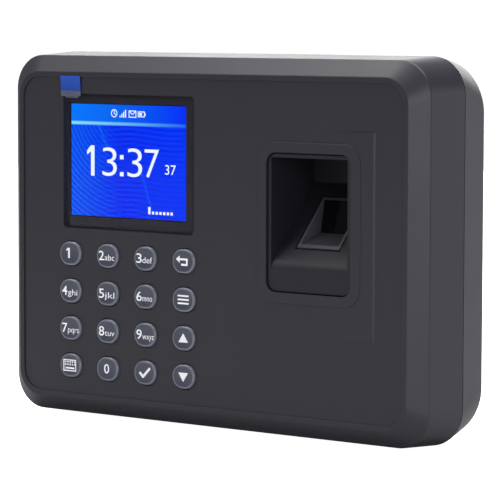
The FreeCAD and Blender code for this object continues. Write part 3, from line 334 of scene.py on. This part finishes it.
# ---------------------------------------------------------------- ports, cables and speaker
# A drawn-steel USB socket with a plastic tongue, a moulded barrel jack round a brass pin, an amber
# polyimide flex to the display, a grey ribbon to the sensor, and a small round speaker on a foam ring.
dress(plated("port_steel", tone(170, 171, 174), tone(204, 205, 208), 0.26, 1200.0), "usb_socket")
dress(speckled("tongue_nylon", tone(226, 226, 224), tone(240, 240, 238), 900.0, 0.42), "usb_tongue")
dress(speckled("jack_nylon", tone(24, 24, 26), tone(34, 34, 36), 1400.0, 0.4), "dc_jack")
dress(plated("pin_brass", tone(206, 174, 92), tone(232, 202, 122), 0.25, 1400.0), "dc_jack_pin")


def ribbon(name, dark, light, pitch, axis):
    """Parallel conductors under a film: stripes at their pitch along one axis."""
    def build(place):
        stripe = (place.axes()[axis] * (2 * math.pi / pitch)).sine().rise(-0.4, 0.4)
        haze = place.noise(600.0, 2.0)
        return {"Base_Color": stripe.mix(dark, light), "Roughness": 0.34 + haze * 0.12,
                "Normal": stripe.bump(0.5, 0.04 * MM)}
    return finish(name, build)


dress(ribbon("flex_film", tone(150, 88, 26), tone(196, 126, 44), 0.8 * MM, 0), "lcd_flex")
dress(ribbon("ribbon_cable", tone(178, 178, 176), tone(206, 206, 204), 1.0 * MM, 2), "sensor_cable")
dress(speckled("speaker_body", tone(34, 34, 36), tone(48, 48, 50), 700.0, 0.5), "speaker")
dress(speckled("black_foam", tone(16, 16, 17), tone(34, 34, 36), 1600.0, 0.9), "speaker_gasket", "window_gasket")

# ---------------------------------------------------------------- display
# A colour display module in a pressed steel tray. Its picture is a clock on blue: a paler bar with a
# bright line along the top, soft curved stripes, and white figures. The figures and small signs are
# thin layers a hair in front of the glass.
display_front = -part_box("lcd_panel")[0].y / MM
SCREEN_LEFT, SCREEN_LOW = -67.015 * MM, 7.67 * MM
SCREEN_WIDTH, SCREEN_TALL = 56.53 * MM, 42.4 * MM
BAR_FOOT = 0.83
dress(plated("pressed_steel", tone(158, 160, 164), tone(190, 192, 196), 0.34, 300.0), "lcd_tray")


def picture(place):
    across, _, up = place.axes()
    u = (across - SCREEN_LEFT) / SCREEN_WIDTH
    v = (up - SCREEN_LOW) / SCREEN_TALL
    lit = u.between(0.0, 1.0) * v.between(0.0, 1.0)
    left = 1 - u.rise(0.0, 0.42)
    field = left.mix(u.rise(0.45, 1.0).mix(tone(0, 12, 238), tone(0, 28, 246)), tone(0, 56, 236))
    # Curved stripes spread from above the middle and fade towards the right, past two thin streaks of light.
    bow = (((u - 0.5) * 1.333) ** 2 + (v - 1.05) ** 2) ** 0.5
    stripe = ((bow * 150.0).sine() * 0.5 + 0.5) * (0.16 + left * 1.1)
    ripple = ((v * 140.0 + (u * 9.0).sine() * 2.0).sine() * 0.5 + 0.5) * (1 - left) * 0.3
    streak_one = (1 - (u - 0.24 - (0.82 - v) * 0.38).maths("ABSOLUTE").rise(0.0, 0.016)) * v.between(0.6, 0.82)
    streak_two = (1 - (u - 0.63 - (0.35 - v) * 0.27).maths("ABSOLUTE").rise(0.0, 0.012)) * v.between(0.06, 0.4)
    light = (stripe + ripple) * 0.4 + (streak_one + streak_two) * 0.3
    field = light.clamped().mix(field, tone(8, 138, 255))
    bar = u.rise(0.0, 0.45).mix(tone(0, 120, 255), u.rise(0.45, 1.0).mix(tone(0, 98, 242), tone(4, 42, 250)))
    line = u.rise(0.0, 1.0).mix(tone(140, 232, 255), tone(24, 104, 232))
    shine = 1 - (v - BAR_FOOT).maths("ABSOLUTE").rise(0.006, 0.02)
    shown = shine.mix((v > BAR_FOOT).mix(field, bar), line)
    grime = place.noise(300.0, 2.0)
    return {"Base_Color": lit.mix(grime.mix(tone(18, 18, 20), tone(24, 24, 27)), (0.0, 0.0, 0.0, 1.0)),
            "Emission_Color": lit.mix((0.0, 0.0, 0.0, 1.0), shown), "Roughness": 0.45 + grime * 0.1}


dress(finish("display_picture", picture, Emission_Strength=1.0, Specular_IOR_Level=0.0), "lcd_panel")


def glyphs(words, bold):
    """The flat faces of a line of figures or letters, one high-line unit tall, with its foot at 0."""
    curve = bpy.data.curves.new("words", "FONT")
    curve.body, curve.offset, curve.resolution_u = words, bold, 5
    writer = link("words", curve)
    flat = bpy.data.meshes.new_from_object(writer.evaluated_get(bpy.context.evaluated_depsgraph_get()))
    shapes = [[flat.vertices[index].co[:2] for index in face.vertices] for face in flat.polygons]
    bpy.data.objects.remove(writer)
    bpy.data.curves.remove(curve)
    bpy.data.meshes.remove(flat)
    return shapes


def fitted(shapes, middle_x, foot_z, width, scale_z):
    """Faces scaled to a width and to a height per unit, and set down about a middle."""
    low = min(x for face in shapes for x, _ in face)
    high = max(x for face in shapes for x, _ in face)
    return [[(middle_x + ((x - low) / (high - low) - 0.5) * width, foot_z + z * scale_z) for x, z in face]
            for face in shapes]


def strip(start, end, thick):
    """A straight stroke as one face."""
    (x, z), (end_x, end_z) = start, end
    long = math.hypot(end_x - x, end_z - z)
    side_x, side_z = -(end_z - z) / long * thick / 2, (end_x - x) / long * thick / 2
    return [(x + side_x, z + side_z), (end_x + side_x, end_z + side_z), (end_x - side_x, end_z - side_z),
            (x - side_x, z - side_z)]


def hoop(x, z, width, tall, line):
    """A hollow box as four faces."""
    wide, high = width / 2, tall / 2
    return [strip((x - wide, z + high - line / 2), (x + wide, z + high - line / 2), line),
            strip((x - wide, z - high + line / 2), (x + wide, z - high + line / 2), line),
            strip((x - wide + line / 2, z - high), (x - wide + line / 2, z + high), line),
            strip((x + wide - line / 2, z - high), (x + wide - line / 2, z + high), line)]


def disc(x, z, radius, sides=14):
    return [(x + radius * math.cos(turn * 2 * math.pi / sides), z + radius * math.sin(turn * 2 * math.pi / sides))
            for turn in range(sides)]


def ring(x, z, radius, line, sides=24):
    outer, inner = disc(x, z, radius, sides), disc(x, z, radius - line, sides)
    return [[outer[turn], outer[(turn + 1) % sides], inner[(turn + 1) % sides], inner[turn]]
            for turn in range(sides)]


def printed(name, shapes, middle_x, middle_z, surface, thick, material, body):
    """A layer of print in millimetres about a middle. surface(x, z) is how far forward its face lies."""
    raised = bmesh.new()
    for shape in shapes:
        raised.faces.new([raised.verts.new((x, 0.0, z)) for x, z in shape])
    bmesh.ops.remove_doubles(raised, verts=raised.verts, dist=1e-4)
    made = bmesh.ops.extrude_face_region(raised, geom=raised.faces[:])
    front = {item for item in made["geom"] if isinstance(item, bmesh.types.BMVert)}
    for vertex in raised.verts:
        x, _, z = vertex.co
        forward = surface(x, z) + (thick if vertex in front else -thick)
        vertex.co = Vector((middle_x + x, -forward, middle_z + z)) * MM
    bmesh.ops.recalc_face_normals(raised, faces=raised.faces)
    mesh = bpy.data.meshes.new(name)
    raised.to_mesh(mesh)
    raised.free()
    piece = link(name, mesh)
    dress(material, piece)
    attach(piece, body)
    return piece


figure_white = finish("figure_white", lambda place: {
    "Emission_Color": place.noise(240.0).mix(tone(224, 242, 252), tone(246, 252, 255)),
    "Roughness": 0.4 + place.noise(300.0) * 0.1}, Emission_Strength=1.0, Base_Color=(0.0, 0.0, 0.0, 1.0))


def figure_one(middle_x, foot_z, tall, line):
    """A one: an upright with a slanted flag at its top."""
    head_z, right = foot_z + tall, middle_x + line * 0.75
    return [strip((right - line / 2, foot_z), (right - line / 2, head_z), line),
            [(right - line, head_z), (right - line * 2.1, head_z - tall * 0.17),
             (right - line * 2.1, head_z - tall * 0.31), (right - line, head_z - tall * 0.20)]]


def on_screen(name, shapes):
    printed(name, shapes, 0.0, 0.0, lambda x, z: display_front + 0.04, 0.02, figure_white, "terminal")


clock_hours = figure_one(-56.75, 22.95, 11.5, 1.75)
for figure, middle_x, wide in (("3", -47.9, 7.1), ("3", -35.5, 7.2), ("7", -27.2, 7.0)):
    clock_hours += fitted(glyphs(figure, -0.008), middle_x, 23.1, wide, 11.5 / 0.73)
clock_hours += [strip((-42.8, level), (-41.0, level), 1.6) for level in (24.0, 30.4)]
on_screen("clock_hours", clock_hours)
on_screen("clock_seconds", fitted(glyphs("37", 0.0), -18.2, 24.6, 5.2, 3.8 / 0.73))
# Small signs in the bar: a clock, signal bars, a message and a battery.
bar_signs = ring(-45.6, 46.8, 1.55, 0.36) + [strip((-45.6, 46.8), (-45.6, 47.9), 0.34),
                                              strip((-45.6, 46.8), (-44.8, 46.3), 0.34)]
bar_signs += [strip((-42.7 + 0.9 * step, 45.3), (-42.7 + 0.9 * step, 46.0 + 0.75 * step), 0.5) for step in range(4)]
bar_signs += hoop(-36.6, 46.7, 3.7, 2.7, 0.36) + [strip((-38.2, 47.8), (-36.6, 46.5), 0.36),
                                                   strip((-35.0, 47.8), (-36.6, 46.5), 0.36)]
bar_signs += hoop(-32.3, 46.7, 3.4, 2.2, 0.36) + [strip((-33.4, 46.7), (-32.0, 46.7), 1.1),
                                                   strip((-30.6, 46.7), (-30.2, 46.7), 0.9)]
on_screen("bar_signs", bar_signs)
# The day of the week as seven marks, the first one raised.
on_screen("day_marks", [strip((-28.4 + 1.8 * day, 9.5), (-28.4 + 1.8 * day, 12.2 if day == 0 else 10.6), 1.05)
                        for day in range(7)])

# ---------------------------------------------------------------- window
# A clear pane in the front shell's seat, printed black on its back round the clear area, with its
# protective film still on and the film's blue tab bent up over the panel.
pane_low, pane_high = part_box("display_window")


def rounded(width, tall, corner, steps=6):
    """The places round a rounded rectangle about 0, 0, counter-clockwise from its right side."""
    places = []
    for quarter, (side, level) in enumerate(((1, 1), (-1, 1), (-1, -1), (1, -1))):
        for step in range(steps + 1):
            angle = (quarter + step / steps) * math.pi / 2
            places.append((side * (width / 2 - corner) + corner * math.cos(angle),
                           level * (tall / 2 - corner) + corner * math.sin(angle)))
    return places


window_x, window_z = (pane_low.x + pane_high.x) / 2 / MM, (pane_low.z + pane_high.z) / 2 / MM
BORDER_WIDTH, BORDER_TALL, BORDER_CORNER = 63.3, 50.6, 1.7
CLEAR_WIDTH, CLEAR_TALL, CLEAR_CORNER = 57.3, 43.2, 0.4
border_outer = rounded(BORDER_WIDTH, BORDER_TALL, BORDER_CORNER)
screen_x, screen_z = (SCREEN_LEFT + SCREEN_WIDTH / 2) / MM - window_x, (SCREEN_LOW + SCREEN_TALL / 2) / MM - window_z
border_inner = [(screen_x + x, screen_z + z) for x, z in rounded(CLEAR_WIDTH, CLEAR_TALL, CLEAR_CORNER)]
border_shapes = [[border_outer[turn], border_outer[(turn + 1) % len(border_outer)],
                  border_inner[(turn + 1) % len(border_outer)], border_inner[turn]]
                 for turn in range(len(border_outer))]
border_ink = speckled("border_ink", tone(45, 43, 49), tone(51, 49, 55), 900.0, 0.5, Specular_IOR_Level=0.04)
printed("window_border", border_shapes, window_x, window_z, lambda x, z: -pane_high.y / MM - 0.05, 0.03,
        border_ink, "terminal")


def clear_sheet(name, gleam, haze, cloud):
    """A clear sheet: what isn't reflected passes straight through, apart from a little haze."""
    def build(place):
        glance = place.node("Fresnel", None, {"IOR": 1.47})
        wipe = place.noise(38.0, 4.0, 0.6, 0.4)
        return {"Alpha": (glance * gleam + wipe.rise(0.45, 0.85) * haze).clamped(), "Roughness": 0.03 + wipe * cloud,
                "Base_Color": wipe.mix(tone(232, 236, 244), tone(250, 252, 255))}
    return finish(name, build, Metallic=1.0)


dress(clear_sheet("clear_pane", 0.08, 0.001, 0.04), "display_window")
dress(clear_sheet("clear_film", 0.04, 0.002, 0.12), "window_film")
# The film's tab: blue above, and a grey strip below where it grips the film. It is bent out over the panel
# and its free end curls a little.
TAB_LEFT, TAB_WIDTH, TAB_FOOT_LEFT, TAB_FOOT_WIDTH, TAB_THICK = -69.6, 9.8, -67.9, 6.4, 0.10
# Level, then how far forward the sheet lies there, from the foot up to the free end.
TAB_CURVE = ((52.25, 39.30), (52.5, 39.52), (52.8, 39.86), (53.1, 40.10), (53.9, 40.22), (55.0, 40.24),
             (56.4, 40.30), (57.8, 40.40), (59.2, 40.54), (60.2, 40.66), (60.7, 40.74))
tab_mesh = bmesh.new()
tab_rows = []
for level, forward in TAB_CURVE:
    flap = min(max((forward - 39.9) / 0.2, 0.0), 1.0)
    left = TAB_FOOT_LEFT + (TAB_LEFT - TAB_FOOT_LEFT) * flap
    wide = TAB_FOOT_WIDTH + (TAB_WIDTH - TAB_FOOT_WIDTH) * flap
    row = []
    for step in range(9):
        across = step / 8
        bow = 0.06 * math.sin(math.pi * across) * flap
        row.append(tab_mesh.verts.new(Vector((left + wide * across, -forward - bow, level)) * MM))
    tab_rows.append(row)
for below, above in zip(tab_rows, tab_rows[1:]):
    for step in range(8):
        tab_mesh.faces.new((below[step], below[step + 1], above[step + 1], above[step]))
bmesh.ops.solidify(tab_mesh, geom=tab_mesh.faces[:], thickness=TAB_THICK * MM)
bmesh.ops.recalc_face_normals(tab_mesh, faces=tab_mesh.faces)
pull_tab_mesh = bpy.data.meshes.new("pull_tab")
tab_mesh.to_mesh(pull_tab_mesh)
tab_mesh.free()
pull_tab_mesh.polygons.foreach_set("use_smooth", [True] * len(pull_tab_mesh.polygons))
pull_tab_mesh.set_sharp_from_angle(angle=math.radians(40))
pull_tab = link("pull_tab", pull_tab_mesh)


def tab_print(place):
    across, _, up = place.axes()
    edge = up + (across * 900.0).sine() * (0.05 * MM)
    blue = edge.rise(54.95 * MM, 55.15 * MM)
    # The blue grows lighter over the 6 mm above the grey strip, towards the free end.
    lighter_upward = (up - 55.0 * MM).rise(0.0, 6.0 * MM)
    crease = place.noise(700.0, 3.0, 0.6)
    return {"Base_Color": blue.mix(crease.mix(tone(108, 112, 142), tone(144, 150, 176)),
                                   lighter_upward.mix(tone(46, 102, 230), tone(58, 124, 248))),
            "Roughness": 0.28 + crease * 0.16, "Normal": crease.bump(0.25, 0.04 * MM)}


dress(finish("blue_film", tab_print), pull_tab)
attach(pull_tab, "terminal")
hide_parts("film_pull_tab")

# ---------------------------------------------------------------- keys
# Sixteen separate caps of silver-grey moulding: a rounded rim round a shallow dish, a flange that stops
# the cap from falling out and a stem that presses the mat. The signs are printed in white in the dish.
# The rim's faces get a lighter copy of the cap's paint: a painted highlight along the rim.
KEY_WIDTH, KEY_TALL, KEY_CORNER = 10.5, 9.1, 4.4
FLANGE_WIDTH, FLANGE_TALL, FLANGE_CORNER, FLANGE_THICK, FLANGE_FRONT = 12.5, 11.1, 5.4, 0.8, 37.4
STEM_WIDTH = 4.0
# Faces nearer the cap's side than this get the lighter paint, a painted highlight on the rim.
PAINTED_HIGHLIGHT_RIM = 0.9
KEY_FRONT = -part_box("key_1")[0].y / MM
# How far in from the cap's side, and how far below its rim, from the dish out to the rim.
DISH = ((4.0, 0.22), (3.2, 0.20), (2.4, 0.15), (1.6, 0.08), (1.15, 0.03), (0.8, 0.01))
SHOULDER = ((0.5, 0.03), (0.28, 0.11), (0.10, 0.28), (0.0, 0.5))


def rim_inset(x, z):
    """How far in from the cap's side a place about the key's middle is."""
    beyond = [abs(x) - (KEY_WIDTH / 2 - KEY_CORNER), abs(z) - (KEY_TALL / 2 - KEY_CORNER)]
    return KEY_CORNER - math.hypot(*(max(value, 0.0) for value in beyond)) - min(max(beyond), 0.0)


def cap_surface(x, z):
    """How far forward the dish lies at a place about the key's middle."""
    inset = rim_inset(x, z)
    for (outer_in, outer_drop), (inner_in, inner_drop) in zip(DISH[::-1], DISH[-2::-1]):
        if inset <= inner_in:
            share = min(max((inset - outer_in) / (inner_in - outer_in), 0.0), 1.0)
            return KEY_FRONT - outer_drop - (inner_drop - outer_drop) * share
    return KEY_FRONT - DISH[0][1]


def key_cap(node):
    low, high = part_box(node)
    middle_x, middle_z = (low.x + high.x) / 2 / MM, (low.z + high.z) / 2 / MM
    stem, flange = (STEM_WIDTH, STEM_WIDTH, STEM_WIDTH / 2), (FLANGE_WIDTH, FLANGE_TALL, FLANGE_CORNER)
    rings = [(*stem, -high.y / MM), (*stem, FLANGE_FRONT - FLANGE_THICK), (*flange, FLANGE_FRONT - FLANGE_THICK),
             (*flange, FLANGE_FRONT), (KEY_WIDTH, KEY_TALL, KEY_CORNER, FLANGE_FRONT)]
    rings += [(KEY_WIDTH - 2 * inset, KEY_TALL - 2 * inset, KEY_CORNER - inset, KEY_FRONT - drop)
              for inset, drop in SHOULDER[::-1] + DISH[::-1]]
    shape = bmesh.new()
    loops = [[shape.verts.new(Vector((middle_x + x, -forward, middle_z + z)) * MM)
              for x, z in rounded(wide, tall, corner, 8)] for wide, tall, corner, forward in rings]
    for below, above in zip(loops, loops[1:]):
        for turn in range(len(below)):
            following = (turn + 1) % len(below)
            shape.faces.new((below[turn], below[following], above[following], above[turn]))
    shape.faces.new(loops[0][::-1])
    shape.faces.new(loops[-1])
    bmesh.ops.recalc_face_normals(shape, faces=shape.faces)
    for face in shape.faces:
        inset = max(rim_inset(vertex.co.x / MM - middle_x, vertex.co.z / MM - middle_z) for vertex in face.verts)
        # Rim faces take the second material, the painted highlight; the dish keeps the cap's own paint.
        face.material_index = 1 if inset < PAINTED_HIGHLIGHT_RIM else 0
    mesh = bpy.data.meshes.new(node + "_cap")
    shape.to_mesh(mesh)
    shape.free()
    mesh.polygons.foreach_set("use_smooth", [True] * len(mesh.polygons))
    mesh.set_sharp_from_angle(angle=math.radians(50))
    mesh.materials.append(cap_silver)
    mesh.materials.append(rim_painted_highlight)
    cap = link(node + "_cap", mesh)
    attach(cap, node)
    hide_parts(node)
    return middle_x, middle_z


def silvered(name, dark, light, metal):
    """Silver-grey paint over the moulding: fine flake, and a clear coat."""
    def build(place):
        flake = place.noise(1500.0, 3.0, 0.6)
        slow = place.noise(70.0, 2.0)
        return {"Base_Color": (flake * 0.5 + slow * 0.5).mix(dark, light),
                "Roughness": 0.26 + flake * 0.10 + slow * 0.06, "Metallic": metal + slow * 0.1,
                "Normal": flake.bump(0.3, 0.02 * MM)}
    return finish(name, build, Coat_Weight=0.25, Coat_Roughness=0.2)


cap_silver = silvered("cap_silver", tone(64, 67, 81), tone(83, 87, 103), 0.3)
# A lighter copy of the cap paint for the rim: a painted highlight, not a different paint.
rim_painted_highlight = silvered("rim_painted_highlight", tone(108, 110, 122), tone(132, 134, 146), 0.3)
# White print with a faint glow of its own: painted light that makes the signs brighter than the lamps alone would.
ink_white_painted_glow = finish("ink_white_painted_glow", lambda place: {
    "Base_Color": place.noise(900.0).mix(tone(232, 233, 236), tone(250, 250, 252)),
    "Roughness": 0.45 + place.noise(1200.0) * 0.1}, Emission_Strength=0.16, Emission_Color=(1.0, 1.0, 1.0, 1.0))
# Each key's figure and the letters that a telephone's dial gives it.
FIGURES = (("1", ""), ("2", "abc"), ("3", "def"), ("4", "ghi"), ("5", "jkl"), ("6", "mno"), ("7", "pqrs"),
           ("8", "tuv"), ("9", "wxyz"), ("0", ""))
signs = {}
for figure, letters in FIGURES:
    if figure == "1":
        shapes = figure_one(-0.8, -1.75, 3.9, 0.85)
    else:
        shapes = fitted(glyphs(figure, 0.006), -2.75 if letters else -0.3, -1.65, 2.45, 3.7 / 0.73)
    if letters:
        long = 1.62 * len(letters) if len(letters) < 4 else 5.7
        shapes += fitted(glyphs(letters, -0.004), -1.2 + long / 2, -1.65, long, 3.3)
    signs["key_" + figure] = shapes
# An arrow that turns back, three bars, a tick, two solid triangles, and a keyboard.
signs["key_back"] = [strip((-2.0, 0.75), (1.7, 0.75), 0.75), strip((1.7, 1.1), (1.7, -1.55), 0.75),
                     strip((2.05, -1.25), (-1.0, -1.25), 0.75), [(-1.7, 2.15), (-1.7, -0.65), (-3.4, 0.75)]]
signs["key_menu"] = [strip((-2.6, level), (2.6, level), 0.62) for level in (1.5, 0.1, -1.3)]
signs["key_confirm"] = [strip((-2.5, 0.1), (-0.8, -1.6), 0.95), strip((-1.1, -1.75), (2.6, 1.95), 0.95)]
signs["key_up"] = [[(-2.3, -1.5), (2.3, -1.5), (0.0, 1.9)]]
signs["key_down"] = [[(2.3, 1.5), (-2.3, 1.5), (0.0, -1.9)]]
signs["key_input"] = hoop(-0.2, 0.0, 6.4, 4.5, 0.42) + [
    strip((-2.35 + 1.12 * step - 0.3, level), (-2.35 + 1.12 * step + 0.3, level), 0.62)
    for step in range(5) for level in (1.3, 0.3)] + [strip((-2.4, -1.05), (2.0, -1.05), 0.62)]
for node, shapes in signs.items():
    middle_x, middle_z = key_cap(node)
    # The signs carry the glowing print, a painted light.
    printed(node + "_sign", shapes, middle_x, middle_z, cap_surface, 0.035, ink_white_painted_glow, node)

dress(speckled("mat_rubber", tone(58, 60, 66), tone(72, 74, 80), 900.0, 0.6), "keypad_mat")

# ---------------------------------------------------------------- finger guide and sensor
# The insert behind the finger opening is moulded in the same plastic, but given a darker tone than the
# front shell: painted shade for the deep well. The sensor's own frame stands in the ramp, and holds a dark
# optical glass with a prism behind it.
# A darker copy of the front shell's plastic: painted shade for the inside of the well.
dress(moulded("guide_plastic", tone(27, 26, 33), tone(34, 32, 41), 0.5, 0.35, 0.4), "finger_guide")
dress(moulded("sensor_plastic", tone(77, 75, 83), tone(87, 85, 93), 0.4, 0.2), "sensor_frame")


def dark_glass(place):
    smear = place.noise(160.0, 4.0, 0.65, 0.8)
    return {"Base_Color": place.noise(60.0).mix(tone(5, 4, 9), tone(10, 8, 14)),
            "Roughness": 0.05 + smear.rise(0.4, 0.8) * 0.12}


dress(finish("sensor_glass", dark_glass, Specular_IOR_Level=0.15), "sensor_window")
dress(finish("prism_glass", lambda place: {"Roughness": 0.02 + place.noise(90.0) * 0.03,
                                           "Base_Color": place.noise(40.0).mix(tone(200, 215, 215),
                                                                               tone(225, 235, 235))},
             Transmission_Weight=1.0, IOR=1.5), "sensor_prism")

# ---------------------------------------------------------------- front shell
# One deep lid of dark plastic, moulded against a fine etched texture, so it is matt with a faint sparkle.
dress(moulded("front_plastic", tone(36, 35, 42), tone(45, 43, 52)), "front_shell")
